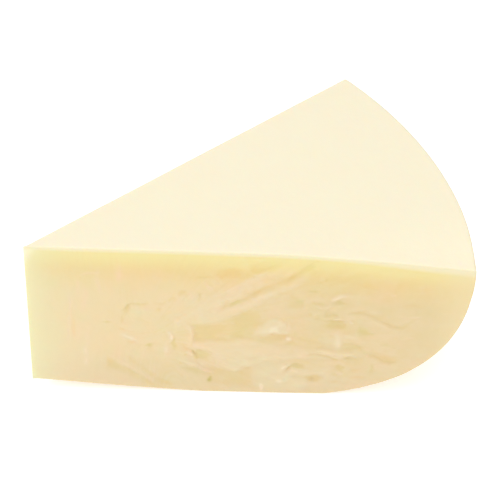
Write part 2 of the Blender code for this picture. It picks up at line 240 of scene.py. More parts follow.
FRONT_MARKS = [Mark(*row) for row in (
    # along the furrow, darker partly as painted shade, and the ridge under it
    (66, 37.3, 70.2, 39.5, 0.8, 0.1, -0.4, -1.2), (75, 43, 82, 47, 0.9, 0, -0.4, 0.6),
    (91, 52, 94, 54.9, 1, 0.1, -0.8, -1.4), (60, 38.3, 71, 44, 2, 0, 0.15, -0.5),
    (72, 46, 87, 53.5, 1.6, 0, 0.1, 0.7), (62, 33.4, 80, 42.6, 1.5, -0.2, 0.15, 0.1),
    # the hollow, darker partly as painted shade, and its lump, paler partly as painted light
    (54.2, 26, 63, 27.5, 3, 0.15, -0.35, 0, 0.3), (69, 27, 77, 34.5, 3.2, 0.15, -0.3, 0.1),
    (60, 25.8, 76, 31, 3.4, 0.1, -0.35, 0.1), (79.2, 28, 82.2, 28.1, 1.1, -0.2, 0.9, -0.4),
    # (84.4, 23.8) is a painted highlight on the smear.
    (77, 29.6, 82.4, 30.6, 1, -0.15, 0.35, -0.6, 0.3), (84.4, 23.8, 86.6, 23.6, 0.6, -0.3, 2.6),
    (86.3, 23.4, 88.2, 23.2, 0.4, 0, 0.5, 0.6), (85.8, 29.6, 85.6, 26.4, 0.5, -0.15, 0.9, 0.5),
    # (84.3, 21.6) and (87.9, 26.8) are painted shadows beside it, partly olive in colour.
    (84.3, 21.6, 88.7, 21.8, 0.9, 0.2, -0.8, -1), (87.9, 26.8, 87.6, 24.2, 0.7, 0.1, -0.5, -0.7),
    (87.4, 39.2, 90.6, 39, 1, 0.1, -0.4, -1),
    # the ledge, paler partly as painted light on its upward face
    (53.8, 20.2, 61.5, 20.2, 1.2, -0.1, 0.3, 0.5), (62, 16.6, 72, 15.4, 3, -0.1, 0.3, -0.6, 0.3),
    (65.6, 12.6, 72.4, 14, 1.1, -0.15, 0.35, -0.8), (78, 18, 99, 17.6, 1.8, 0, 0.1, 0.25),
    # curls where the folds turn down into the ledge
    (49.6, 31.2, 52.8, 20.4, 0.7, -0.4, 0.45, 0.5, 2.4), (49.6, 27.8, 50.4, 21.4, 1.5, 0.1, -0.15, -0.4),
    (45.7, 26.6, 47.3, 21.6, 0.7, -0.4, 1.3, 0.8, 0.4), (46.4, 24, 47, 22.5, 0.55, -0.1, 1, 0.4),
    (46.4, 22.2, 45.7, 16, 0.9, -0.25, 0.6, 0.6), (47.6, 23.6, 48.6, 17.6, 0.7, 0.35, -1.5, -0.8),
    (50.2, 20.8, 52.8, 17.8, 1, 0.2, -0.4, 0.4), (52, 17.2, 54.1, 15.6, 0.6, -0.6, 1, 0.7),
    (51.1, 16.2, 51.8, 15.8, 0.4, 0.15, -1.2, 0.2), (53.2, 17.8, 55.5, 13.5, 0.45, 0.5, -2, 0.3, 0.4),
    (49.6, 14.3, 55.2, 11.5, 0.7, -0.4, 1.3, -0.5), (53.2, 12.6, 60.4, 8.4, 0.6, -0.5, 0.6, 0.9),
    (49.7, 12.4, 50.9, 12.2, 0.45, 0.1, -0.8, 0.2), (51, 10.8, 58, 7.4, 0.9, 0.25, -0.5, -0.3),
    (47.5, 11.5, 53, 5, 1, -0.15, 0.2, 0.4),
    # under the ledge
    # (76.2, 4.8) and (80.8, 5.6) are painted highlights, and (82.9, 10.2) is partly one.
    (76.2, 4.8, 76.3, 0.9, 0.55, -0.2, 2.6, 1.2), (80.8, 5.6, 83.4, 5.8, 0.8, -0.35, 1.6, 0.6),
    (82.9, 10.2, 85.6, 12.7, 0.7, -0.4, 1.3, 0.6, 0.3), (83.6, 8.6, 86.8, 11.8, 0.6, 0.5, -1.1, 0.3, 0.2),
    (86.2, 12.5, 90.4, 11.6, 0.9, 0.35, -1.6, -0.3), (86, 10.2, 88.6, 10, 0.6, -0.2, 0.4, 1.2),
    (91.2, 6.7, 97.2, 6.8, 1.3, 0.6, -1.7, 0.9), (92.8, 6.2, 95.6, 6.3, 0.8, 0.3, -0.8, 0.2),
    (85.5, 7.6, 92.5, 7.1, 0.9, 0.2, -0.5), (83.4, 5, 85.4, 8.4, 0.9, -0.15, 0.5, -1.2),
    (101, 12, 104, 11.1, 0.9, 0.35, -2.2, -0.4), (101.6, 9.2, 104, 9, 0.7, -0.3, 0.8, 0.8),
    (99.4, 8.3, 102, 8.2, 0.7, 0.2, -0.6, -0.3), (98.8, 5.3, 103.4, 5.2, 0.7, 0.25, -0.6, 1),
    (88, 5, 98, 3.6, 0.8, -0.15, 0.3, 1, 0.3), (78, 12.6, 84, 14, 0.9, 0.15, -0.3, 0.2),
    (113.2, 14.4, 113, 9.4, 0.8, 0.2, -0.7, -0.5), (103.3, 15.7, 109.1, 15.7, 0.8, 0.35, -0.3),
    (110.4, 18.1, 111.2, 17.9, 0.5, 0, -0.2, -1.5), (86, 3.6, 93, 4.4, 0.7, -0.15, 0.4, -0.4, 0.2),
    (95, 9.6, 100, 10.8, 0.8, -0.15, 0.35, -0.3, 0.2), (89, 9.2, 94, 9.4, 0.7, -0.1, 0.35, 0.6),
    (77.5, 7.4, 79.5, 11.5, 1.2, -0.15, 0.4, -0.8), (97, 13.2, 104, 13.6, 0.8, -0.1, 0.3, 0.3, 0.2),
    (104, 9.4, 110, 11.4, 0.9, 0.15, -0.45, 0.4), (106, 7.2, 111, 7.6, 0.7, 0.1, -0.4, 0.8),
    (111.3, 17.1, 112.1, 16.8, 0.4, -0.1, 0.4, 1.5), (113.5, 16.8, 123, 15.9, 1.3, 0.15, -0.6, 0.7),
    (101.4, 20.2, 108.2, 20.2, 0.9, 0.2, -0.35, 0.1),
    # drag marks, a bright smear and a faint ring towards the tip
    # (31.3, 32.6) is painted shadow beside a flake.
    (33.7, 36.2, 32.3, 32.2, 0.7, 0.3, -0.6), (31.3, 32.6, 30.7, 28.4, 0.4, 0.15, -0.5),
    (33.8, 33, 41.5, 33.6, 1.6, -0.25, 0.35, -0.8, 0.4), (24.5, 9, 27.5, 11.6, 2, 0.1, -0.3, 0.3),
    (34.5, 27.4, 45, 27, 2.4, -0.1, 0.25, -0.7, 0.6),
    (34.6, 18.4, 36.8, 14.4, 1.3, -0.1, 0.2, -0.3, -0.3), (50, 17.6, 52.4, 18.8, 1, 0.15, -0.3, 0.9),
    (35.3, 35.4, 39.8, 35.4, 0.8, -0.1, 0.35, 0.7), (30.2, 26.7, 32.2, 26.4, 0.5, 0.1, -0.5, 0.3),
    # (30.4, 24.2) is a painted highlight.
    (24.5, 29.4, 27.1, 29.5, 0.4, 0.2, -0.7), (30.4, 24.2, 35.6, 21.8, 0.95, -0.4, 2.5, 0, 0.4),
    (31.2, 23.4, 31.6, 19.8, 0.7, -0.1, 0.9, 0.8), (32.8, 20.8, 35.8, 20.5, 0.8, 0.15, -0.4, 1),
    (37.6, 22, 44, 23, 2, -0.1, 0.25, -0.9, 0.5), (43.4, 13.6, 44, 20.5, 1.7, -0.1, 0.3, -0.8),
    (46.2, 20.6, 45.6, 15, 1, -0.15, 0.5, 0.4), (38, 13.5, 37.6, 19, 1.2, -0.1, 0.2, 0.4),
    # faint upright streaks nearer the tip
    (14.8, 44, 12.8, 20, 0.6, -0.12, 0.8, 1.1), (15.3, 34, 14.7, 21, 0.8, 0.1, -0.4, 1.2),
    (19.4, 44, 18.6, 33, 1, 0, 0.5, 1.2), (17.2, 49, 17.1, 40, 0.7, 0, 0.45, 1.1),
    (17.3, 48.1, 23.8, 49.5, 0.6, -0.12, 0.5, 1.1, 0.4), (23.4, 50.5, 24.2, 41, 0.9, -0.12, 0.9, 1.1),
    (31, 55.5, 30.8, 46, 1.2, -0.1, 0.6, 1.4), (18.5, 19, 18.7, 11, 0.7, -0.12, 1.4, 0.5),
    (19.5, 28, 19.1, 15, 0.8, 0, 0.55, 0.7), (17.1, 30, 16.3, 20, 0.9, 0, 0.3, 0.9),
    (8.3, 31.4, 8.2, 27, 0.6, 0, 0.35, -0.3), (11, 10.7, 13, 10.6, 0.8, 0, -0.4, 0.2),
    (29.5, 21, 29.6, 14, 1.5, 0, 0.05, 0.8), (6.6, 56.8, 10.2, 56.9, 0.6, 0, -0.8, -0.6),
    # crumbly patches between the folds and the top edge
    (54, 48.6, 61.2, 48.9, 0.4, 0.15, -0.3, 0, -0.1), (57.4, 47.2, 60.2, 43.8, 0.6, -0.15, 0.3, 0.5),
    (60.4, 47.6, 63.2, 45.8, 0.6, -0.15, 0.3), (46.3, 38, 48.8, 41.2, 0.8, 0.2, -0.5, -0.3),
    (50.2, 41.6, 53.4, 42.3, 1.1, 0.2, -0.5), (56.7, 42.3, 56.4, 38.6, 0.6, 0.2, -0.6, -0.3),
    (41.4, 37, 46.2, 37.2, 0.8, 0.1, -0.3), (43, 34.6, 44.2, 34.8, 0.6, 0.1, -0.4, 0.2),
    (51.2, 40, 56, 36.8, 1.4, -0.15, 0.4, -0.8), (53.6, 42.2, 54.8, 38.2, 0.7, -0.1, 0.4, 0.5),
    (47.3, 33.6, 50.7, 33.4, 0.7, -0.15, 0.6, -0.4), (58.3, 45.4, 60.8, 43.6, 0.8, -0.1, 0.35, 0.7),
    (47.3, 31.2, 50.2, 30, 1, -0.15, 0.3, 0.6), (73.6, 50.4, 76.8, 50.9, 0.4, -0.2, 0.6, 0.9, -0.5),
    (69.8, 56.8, 73.3, 56.2, 0.7, -0.4, 1.1, -0.2), (74.7, 56.8, 78.5, 55.9, 0.7, -0.4, 1.7),
    (70.8, 55, 72.6, 53.6, 0.7, -0.15, 0.7, -0.4),
    # flecks, pits and smears towards the rim
    # (99.7, 40.1) is a raised flake, paler partly as painted light, with painted shadow under it at (99.5,
    # 38.9), partly olive in colour.
    (99.7, 40.1, 105.6, 42.7, 0.9, -0.35, 1.1, 0.4, 0.3), (99.6, 40.1, 102.4, 41.2, 0.5, -0.1, 0.7),
    (99.5, 38.9, 106.2, 39.2, 0.8, 0.3, -0.5, -0.5), (93.2, 38.6, 97.1, 38.5, 0.6, 0.15, -0.45),
    (93.9, 33, 96.4, 34.7, 0.6, -0.2, 0.4, 0, 0.6), (94.2, 32.1, 97.2, 31.8, 0.5, 0.2, -0.7),
    (93.1, 34.5, 93.4, 33.2, 0.4, 0.15, -0.6), (97, 31, 105, 31.1, 0.4, 0.3, -0.6, 0.4),
    (105, 31.3, 106.7, 30.5, 0.5, -0.4, 1.2, 0.5), (97.6, 29.4, 105.2, 28.8, 1.3, 0.45, -1.3, -0.2, 0.3),
    (108, 27.5, 111.7, 26.7, 1.8, 0.35, -0.9, -0.7), (111, 26.5, 113.8, 26.3, 0.5, 0.15, -0.4, -0.3),
    (101.6, 26.8, 101.3, 19.8, 1.1, -0.2, 0.8, -0.1), (95.8, 24.2, 100.2, 21.8, 1.6, -0.1, 0.3, -0.9),
    (95, 47.4, 97.2, 47.3, 0.5, 0.1, -0.45), (97.4, 48.5, 98.4, 48.6, 0.5, 0.1, -0.6),
    (91.5, 43.9, 94.6, 44.1, 0.5, 0.2, -0.8, -0.4), (123.8, 33.6, 128.8, 33.7, 0.5, -0.1, 0.4, 0.5),
    (122.6, 25, 126.2, 25.1, 0.5, -0.1, 0.4, 0.5), (115.8, 22.3, 121.2, 20.7, 0.7, 0.15, -0.55, -0.5),
    (112, 24.6, 119, 25.6, 1, -0.1, 0.3, 0.5, 0.4), (104, 25.4, 110, 23.4, 0.9, -0.15, 0.4, 0.2, 0.3),
    (88, 24, 94, 22.4, 0.9, 0.15, -0.4, -0.3, 0.3), (90, 33.6, 94, 31, 0.9, -0.1, 0.3, -0.4),
    (122, 38.6, 131, 36.4, 1.1, 0.1, -0.25, 0.2, 0.5), (108, 41, 116, 38.8, 1, -0.1, 0.25, 0.5, 0.4),
    (106, 46.8, 114, 45.2, 0.9, 0.1, -0.25, 0.3, 0.3), (124, 52.8, 131, 52.9, 0.8, 0, -0.7, 0.8),
    (112, 53.6, 117, 53.2, 0.7, 0, -0.3, -0.6), (118.6, 42.6, 120.6, 42.8, 0.6, -0.1, 0.3, 0.6),
    (138.6, 43.2, 138.4, 39.6, 0.7, 0, -0.4, 0.2), (137.2, 51, 139.6, 51.1, 0.6, 0, -1.8, -2.2),
    (38.4, 19.5, 41.4, 19.7, 0.7, 0.1, -0.9, -0.8),
)]

BACK_MARKS = [Mark(*row) for row in (
    (36, 12, 78, 40, 1.6, 1, -0.8, 0, 1), (32, 18, 70, 46, 2.4, -0.8, 0.6, 0, 0.6),
    (44, 14, 80, 36, 1.8, -0.7, 0.5, 0, 0.6), (70, 20, 112, 44, 3.6, 1, -0.6, 0, 1.5, 1),
    (74, 26, 106, 47, 1.4, -0.6, 0.6, 0, 1), (90, 12, 124, 28, 2.4, 0.9, -0.6, 0, 0.5, -1),
    (92, 17, 120, 31, 1.2, -0.5, 0.5, 0, 0.5), (20, 44, 52, 52, 2, 0.7, -0.4, 0, -1, 1),
    (88, 48, 120, 40, 2.4, -0.7, 0.5, 0, 1), (52, 8, 84, 12, 2.4, 0.8, -0.6, 0, 1, 1),
    (98, 35, 106, 33, 1.2, 0.8, -0.9, 0, 0.3), (58, 46, 66, 50, 1.1, -0.5, 1, 0, 0.3),
    (26, 26, 34, 32, 1, 0.6, -0.6, 0, 0.6), (60, 30, 63, 31, 0.7, -0.3, 1.4),
    (112, 20, 120, 18, 1, 0.7, -0.8, 0, 0.4), (16, 34, 16.6, 18, 1, -0.2, 0.6),
    (24, 40, 23.2, 30, 0.9, -0.2, 0.5),
)]

# Small dark flecks on each cut: (distance from the tip, height, radius, strength).
FRONT_FLECKS = ((39.8, 19.6, 0.8, 0.3), (59.3, 5.2, 0.75, 1.0), (59.7, 6.3, 0.4, 0.7))
BACK_FLECKS = ((48.0, 36.0, 0.6, 0.6), (96.0, 22.0, 0.8, 0.8), (118.0, 46.0, 0.6, 0.4))

SHARP_SIDE = 2.5  # how many times as steep a stepped mark is on its sharp side
TAPER = 1.3  # how far a mark has died away at its ends, as a power of e
TRAIL_STEP = 0.6  # half the stretch over which a trail's slope is taken
TRAIL_END = 2.4  # how far a trail takes to set in at each end
SWELL_HEIGHT = 0.25  # of the slow waves
SWELL_LENGTH = 11.0
SWELL_RISE = 8.0
SWELL_BEND = 0.6
SWELL_BEND_RISE = 7
SWELL_DRIFT = 29
WANDER_SIZE = 3.4  # the marks wander by a share of this size, and by less at a smaller one
WANDER_FINER = 2.6
WANDER_SHARE = 0.13
UNEVENNESS = 0.5  # how much stronger or weaker a mark gets from place to place
UNEVEN_SIZE = 3.0
FINE_SHARE = 0.6  # strength of a noise's finer part
CRUMB_WIDTH = 1.4
CRUMB_LENGTH = 4.5
CRUMB_HEIGHT = 0.06
CRUMB_TONE = 0.22
CRUMB_TINT = 0.5
CRUMB_IN = (22.0, 46.0)  # the crumb sets in and ends over these distances from the tip
CRUMB_OUT = (122.0, 140.0)
CALM_SLOPE = 0.5  # the crumb is calm in the hollows, and above a line that rises this much
CALM_ABOVE = (12.0, 21.0)
CALM_DEPTH = (0.1, 0.5)
CALM_SHARE = 0.75

# The relief fades towards the cut's edges: over these lengths, to these shares at the top and the bottom.
END_FADE = 6.0
EDGE_FADE = 5.0
TOP_SHARE = 0.25
BOTTOM_SHARE = 0.4
EDGE_MARGIN = 2.0

# The rim is dented by up to three times this depth, away from the cuts and between these heights.
DENT_DEPTH = 0.12
DENT_SIZE = 11.0
DENT_FINER = 2.3
DENT_FINE_SHARE = 0.4
DENT_BEHIND = (1, 10)
DENT_ALONG = (60.0, 90.0)
DENT_LOW = (3.0, 16.0)
DENT_HIGH = (48.0, 57.0)

# The tears fan out from one place on each cut, and run upright on the tip's side of it.
FAN_CENTRE = (38.0, 23.0)
FAN_START = 24.0
FAN_FULL = 50.0
FAN_SCALE = 42.0
FAN_NEAREST = 4.0
STREAK_WIDTH = 1.3
STREAK_FINER = (2.1, 1.7)
QUIET_SHARE = 0.2  # share of the streaks that is left at the tip
STREAK_LENGTH = 13.0
STREAK_TONE = 0.15
GRAIN_SIZE = 1.4

# Each noise has its own seed: SEED plus its number here, plus one on the back cut. Each wander also
# has a second one, two further on.
SEED = 11
STREAK, FINE_STREAK, GRAIN, UNEVEN = 0, 10, 20, 50
WANDERS = (30, 34)
CRUMB, FINE_CRUMB, TINT = 60, 70, 80
DENT, FINE_DENT = 90, 91
NOISE_TABLE = 256

# Where the colours change, in millimetres from the tip or below the level cut.
FAR_PASTE_AT = (45.0, 100.0)
LOWER_PASTE_AT = (36.0, 54.0)
UPPER_PASTE_AT = (4.0, 20.0)
# The next four place painted light that comes through the thin cheese: under the level cut, by the rim and
# at the tip.
PAINTED_EDGE_GLOW_AT = (1.0, 10.0)
PAINTED_RIM_LIGHT_AT = (130.0, 143.5)
PAINTED_TIP_LIGHT_REACH = 8.0
SKIN_PAINTED_TIP_LIGHT_REACH = 5.0
# The level cut's colour is painted paler for the light from above, and these carry it down its edge.
PALE_REACH = 1.7  # how far the level cut's colour reaches down its edge, and how much further at the rim
PALE_FURTHER = 1.5
PALE_FURTHER_AT = (100.0, 140.0)

# How strongly each thing colours the cut cheese.
# how much a millimetre of depth darkens hollows and pales raised parts: painted shade and painted light
DEPTH_SHADE = 0.4
STREAK_TEXTURE, MOTTLE_TEXTURE, PATCH_TEXTURE = 0.5, 0.5, 0.7
HOLLOW_CALM = 0.6
HOLLOW_FULL = 1.6
FOLD_SHARE = 0.75
GLINT_FROM, GLINT_SHARE = 0.9, 0.8
WARM_CLOUDS = 2.0
WARM_RED, WARM_GREEN = 0.03, 0.014
# The next three set painted light that comes through the thin cheese: under the level cut, by the rim and
# at the tip.
PAINTED_EDGE_GLOW_BASE = 0.45
PAINTED_RIM_LIGHT_SHARE = 0.6
PAINTED_TIP_LIGHT_SHARE, PAINTED_TIP_LIGHT_LESS_BEHIND = 0.9, 0.4
# painted shade along the level cut's rounded edge
EDGE_SHADE_SHARE, EDGE_SHADE_LESS_BEHIND = 0.7, 0.6
EDGE_SHADE_LINE_SHARE, EDGE_SHADE_LINE_REACH = 0.5, 3.0
# these spread the level cut's paler colour, painted light, down the cut near the tip
TOP_LIGHT_BY_HEIGHT, TOP_LIGHT_BY_TIP, TOP_LIGHT_FULL = 0.12, 0.2, 1.3
SPOT_CONTRAST = 3.0
WARM_PATCH_SHARE = 0.8
ROUGHNESS, ROUGH_MOTTLE, WET_TONE = 0.46, 0.16, 0.12
BUMP_STRENGTH, BUMP_HEIGHT = 0.35, 0.0003

# Features of the shader's clouds to the metre, and of its streaks to the fan's millimetre.
PATCH_SCALE = 90.0
CLOUD_SCALE = 45.0
MOTTLE_SCALE = 420.0
STREAK_SCALE = 0.7
FLOW_STRETCH = 0.12  # how much slower the streaks change along the tears than across them
WHITE = (1.0, 1.0, 1.0)

# The stage, in metres. The camera's numbers come from the photograph's outline.
FLOOR_WIDTH = 40.0
LOOK_AT = (0.0091, 0.0089, 0.02975)
OVERHEAD_PLACE = (-0.15, -0.25, 1.2)
OVERHEAD_WIDTH = 1.4
SIDE_PLACE = (-0.9, -0.9, 0.8)
SIDE_WIDTH = 0.9
FOCAL_LENGTH = 188.63
SENSOR_WIDTH = 36.0


def noise(across, along, seed):
    """Smooth random values from -1 to 1: random heights at whole places, blended by the smooth step."""
    heights = np.random.default_rng(seed).uniform(-1, 1, (NOISE_TABLE, NOISE_TABLE))
    column, row = np.floor(across).astype(int), np.floor(along).astype(int)
    right, up = across - column, along - row
    right, up = right**2 * (3 - 2 * right), up**2 * (3 - 2 * up)
    near, far = column % NOISE_TABLE, (column + 1) % NOISE_TABLE
    low, high = row % NOISE_TABLE, (row + 1) % NOISE_TABLE
    below = heights[near, low] * (1 - right) + heights[far, low] * right
    above = heights[near, high] * (1 - right) + heights[far, high] * right
    return below * (1 - up) + above * up


def eased(value, start, end):
    """Smooth step from 0 at start to 1 at end."""
    run = np.clip((value - start) / (end - start), 0, 1)
    return run**2 * (3 - 2 * run)


def faded(distance, reach, share=0.0):
    """Rises in a straight line from a share of one at no distance to one at the reach."""
    return share + (1 - share) * np.clip(distance / reach, 0, 1)


def mark_section(along, up, mark):
    """How much of one mark each point feels: a bell or a step across it, times a bell with a flatter
    middle along its length."""
    run_along, run_up = mark.to_along - mark.along, mark.to_up - mark.up
    length = (run_along**2 + run_up**2) ** 0.5
    share = ((along - mark.along) * run_along + (up - mark.up) * run_up) / length**2
    across = ((up - mark.up) * run_along - (along - mark.along) * run_up) / length
    across = (across - mark.bow * 4 * share * (1 - share)) / mark.width
    taper = np.exp(-TAPER * np.abs(2 * share - 1) ** 3)
    if mark.step == 0:
        return taper * np.exp(-(across**2))
    sharp = np.exp(-((across * SHARP_SIDE) ** 2))
    return taper * np.where(across * mark.step > 0, np.exp(-np.abs(across)), sharp)


def trail_section(along, up, trail):
    """How much of one trail each point feels: a bell across its line, square to the line's local slope,
    times a smooth step in at each end."""
    places, heights = np.transpose(trail.line)
    start, end = places[0], places[-1]
    middle = np.interp(along, places, heights)
    before, after = (np.interp(along + step, places, heights) for step in (-TRAIL_STEP, TRAIL_STEP))
    slope = (after - before) / (2 * TRAIL_STEP)
    across = (up - middle) / np.sqrt(1 + slope**2) / trail.width
    ends = eased(along, start, start + TRAIL_END) * (1 - eased(along, end - TRAIL_END, end))
    return ends * np.exp(-(across**2))


def zone_share(along, up, zone):
    """How much of one zone each point feels: a smooth step over each of its two lines, and one at each
    end. Each line is straight between its points."""
    over = up - np.interp(along, *np.transpose(zone.low))
    under = np.interp(along, *np.transpose(zone.high)) - up
    start, end = zone.low[0][0], zone.low[-1][0]
    ends = eased(along, start, start + zone.ends[0]) * (1 - eased(along, end - zone.ends[1], end))
    return ends * (0.5 + 0.5 * np.tanh(over / zone.soft)) * (0.5 + 0.5 * np.tanh(under / zone.soft))


def fan(along, up):
    """Coordinates that follow the tears: across them, an angle about the fan's centre times a fixed
    radius, and along them, the distance from it. Towards the tip both turn into along and up."""
    ahead, above = along - FAN_CENTRE[0], up - FAN_CENTRE[1]
    share = eased(along, FAN_START, FAN_FULL)
    angle = np.arctan2(above, np.maximum(ahead, FAN_NEAREST))
    across = share * angle * FAN_SCALE + (1 - share) * along
    length = share * np.hypot(ahead, above) + (1 - share) * up
    return across, length


class WedgeForm:
    """The wedge's shape for one set of sizes. Every length is in millimetres."""

    def __init__(self, sizes):
        self.radius = sizes.wheel_radius / MM
        self.half_angle = sizes.wedge_angle / 2
        self.tip_to_axis = sizes.tip_to_axis / MM
        self.cut_height = sizes.cut_height / MM
        self.tears = sizes.tears
        self.streaks = sizes.streaks / MM
        self.grain = sizes.grain / MM
        self.base_middle = (TIP_BLUNT + self.radius - self.tip_to_axis) / 2
        self.rim_edge = self.along_cut(self.radius)

    def along_cut(self, radius):
        """Distance from where the cuts meet to a cut's point that is radius away from the wheel's axis."""
        offset = self.tip_to_axis * sin(self.half_angle)
        return (radius**2 - offset**2) ** 0.5 - self.tip_to_axis * cos(self.half_angle)

    def underside(self, radius):
        """Height of the wheel's flat side: level, then a superellipse up to the rim, plus a rise that
        grows with the square of the way to the tip."""
        run = np.clip((radius - (self.radius - RIM_ROUNDING)) / RIM_ROUNDING, 0, 1)
        rise = 1 - (1 - run**RIM_POWER) ** (1 / RIM_POWER)
        hollow = np.clip(1 - (radius - self.tip_to_axis) / HOLLOW_REACH, 0, 1)
        return WIDEST_HEIGHT * rise + HOLLOW_RISE * hollow**2

    def rim(self, height):
        """Distance of the rim from the wheel's axis at a height, by the same superellipse."""
        run = (1 - (1 - height / WIDEST_HEIGHT) ** RIM_POWER) ** (1 / RIM_POWER)
        return self.radius - RIM_ROUNDING * (1 - run)

    def sag(self, along, inward):
        """How far the level cut sags: a power of the way to the rim, dying away behind the front cut."""
        run = np.clip((along - SLUMP_START) / (self.rim_edge - SLUMP_START), 0, 1)
        kept = np.exp(-((np.maximum(inward, 0) / SLUMP_REACH) ** SLUMP_FALL))
        return SLUMP_DEPTH * run**SLUMP_POWER * kept

    def resting(self, ahead, across, height):
        """Height above the floor: the sag and the lean taken off, then pressed flat where it would sink."""
        inward = ahead * sin(self.half_angle) + across * cos(self.half_angle)
        share = np.maximum((height - SLUMP_FLOOR) / (self.cut_height - SLUMP_FLOOR), 0)
        height = height - share * self.sag(np.hypot(ahead, across), inward)
        height = height - tan(radians(LEAN)) * (ahead - LEAN_PIVOT) - FOOT_DEPTH
        pressed = np.maximum(height + FOOT_BLEND, 0) ** 2 / (4 * FOOT_BLEND)
        return np.where(height >= FOOT_BLEND, height, pressed)

    def behind_cut(self, along, depth, side):
        """Where a point lies once it has moved in by depth from its cut at a fixed distance from the
        wheel's axis, as (ahead of the tip, across). side is -1 for the front cut and 1 for the back."""
        squared = along**2 + 2 * along * self.tip_to_axis * cos(self.half_angle) + self.tip_to_axis**2
        off_plane = self.tip_to_axis * sin(self.half_angle) + depth
        on_plane = np.sqrt(squared - off_plane**2)
        ahead = on_plane * cos(self.half_angle) + off_plane * sin(self.half_angle) - self.tip_to_axis
        across = on_plane * sin(self.half_angle) - off_plane * cos(self.half_angle)
        return ahead, side * across

    def tear(self, along, up, side):
        """Depth, tone and tint of the torn cut: slow waves, zones, trails and marks, streaks and grain."""
        seed = SEED + (side > 0)
        bent_along, bent_up = along, up
        for size, number in zip((WANDER_SIZE, WANDER_SIZE / WANDER_FINER), WANDERS):
            reach = WANDER_SHARE * size
            bent_along = bent_along + reach * noise(along / size, up / size, seed + number)
            bent_up = bent_up + reach * noise(along / size, up / size, seed + number + 2)
        uneven = 1 + UNEVENNESS * noise(along / UNEVEN_SIZE, up / UNEVEN_SIZE, seed + UNEVEN)
        wave = np.sin(bent_along / SWELL_LENGTH + SWELL_BEND * np.sin(up / SWELL_BEND_RISE))
        depth = SWELL_HEIGHT * wave * np.cos(bent_up / SWELL_RISE + along / SWELL_DRIFT)
        tone = np.zeros_like(depth)
        tint = np.zeros_like(depth)
        tables = (FRONT_ZONES, FRONT_TRAILS, FRONT_MARKS) if side < 0 else (BACK_ZONES, (), BACK_MARKS)
        for section, table in zip((zone_share, trail_section, mark_section), tables):
            for feature in table:
                share = uneven * section(bent_along, bent_up, feature)
                depth = depth + feature.depth * share
                tone = tone + feature.tone * share
                tint = tint + feature.tint * share

        across, length = fan(along, up)
        over, on = across / STREAK_WIDTH, length / STREAK_LENGTH
        finer = noise(over * STREAK_FINER[0], on * STREAK_FINER[1], seed + FINE_STREAK)
        streak = noise(over, on, seed + STREAK) + FINE_SHARE * finer
        streak = streak * faded(along, FAN_FULL, QUIET_SHARE)
        grain = noise(along / GRAIN_SIZE, up / GRAIN_SIZE, seed + GRAIN)
        crumb = noise(across / CRUMB_WIDTH, length / CRUMB_LENGTH, seed + CRUMB)
        crumb = crumb + FINE_SHARE * noise(along / CRUMB_WIDTH, up / CRUMB_WIDTH, seed + FINE_CRUMB)
        crumb = crumb * eased(along, *CRUMB_IN) * (1 - eased(along, *CRUMB_OUT))
        calm = np.maximum(eased(up - CALM_SLOPE * along, *CALM_ABOVE), eased(depth, *CALM_DEPTH))
        crumb = crumb * (1 - CALM_SHARE * calm)
        streak = streak * (1 - CALM_SHARE * calm)
        depth = depth - CRUMB_HEIGHT * crumb
        tone = tone + CRUMB_TONE * crumb
        tint = tint + CRUMB_TINT * noise(along / CRUMB_LENGTH, up / CRUMB_LENGTH, seed + TINT)
        depth = self.tears * (depth + self.streaks * streak) + self.grain * grain

        top_edge = self.cut_height - self.sag(along, 0) * (side < 0)
        ends = faded(along, END_FADE) * faded(self.rim_edge - EDGE_MARGIN - along, END_FADE)
        top = faded(top_edge - EDGE_MARGIN - up, EDGE_FADE, TOP_SHARE)
        bottom = faded(up - EDGE_MARGIN, EDGE_FADE, BOTTOM_SHARE)
        return depth * ends * top * bottom, tone + STREAK_TONE * streak, tint

    def outline(self, columns, rows):
        """The cut's outline as four runs of (distance from the wheel's axis, height on the wheel): the
        lower run, the rim with its corner's arc, the level cut and the tip, each evenly divided."""
        inner = self.tip_to_axis + TIP_BLUNT
        corner = self.cut_height - CORNER_RADIUS
        side = self.rim(corner)
        curved = self.rim(np.linspace(0, SPLIT_HEIGHT, FINE_POINTS)[1:])
        lower = np.concatenate([np.linspace(inner, self.radius - RIM_ROUNDING, FINE_POINTS), curved])
        heights = np.linspace(SPLIT_HEIGHT, corner, FINE_POINTS)
        turn = np.linspace(0, pi / 2, ARC_POINTS)[1:]
        rim = np.concatenate([self.rim(heights), side - CORNER_RADIUS * (1 - np.cos(turn))])
        up_rim = np.concatenate([heights, corner + CORNER_RADIUS * np.sin(turn)])
        level = np.linspace(inner, side - CORNER_RADIUS, FINE_POINTS)
        tip = np.linspace(self.underside(inner), self.cut_height, FINE_POINTS)
        return (
            self.divided(lower, self.underside(lower), columns),
            self.divided(rim, up_rim, rows),
            self.divided(level, np.full_like(level, self.cut_height), columns),
            self.divided(np.full_like(tip, inner), tip, rows),
        )

    def divided(self, radius, height, count):
        """The same run as (distance along the cut, height on the wheel) at count places evenly along it."""
        along = self.along_cut(radius)
        length = np.concatenate([[0], np.cumsum(np.hypot(np.diff(along), np.diff(height)))])
        even = np.linspace(0, length[-1], count)
        return np.stack([np.interp(even, length, along), np.interp(even, length, height)], -1)

    def on_cut(self, along, height, side):
        """Height above the floor of a point of one cut."""
        return self.resting(along * cos(self.half_angle), side * along * sin(self.half_angle), height)


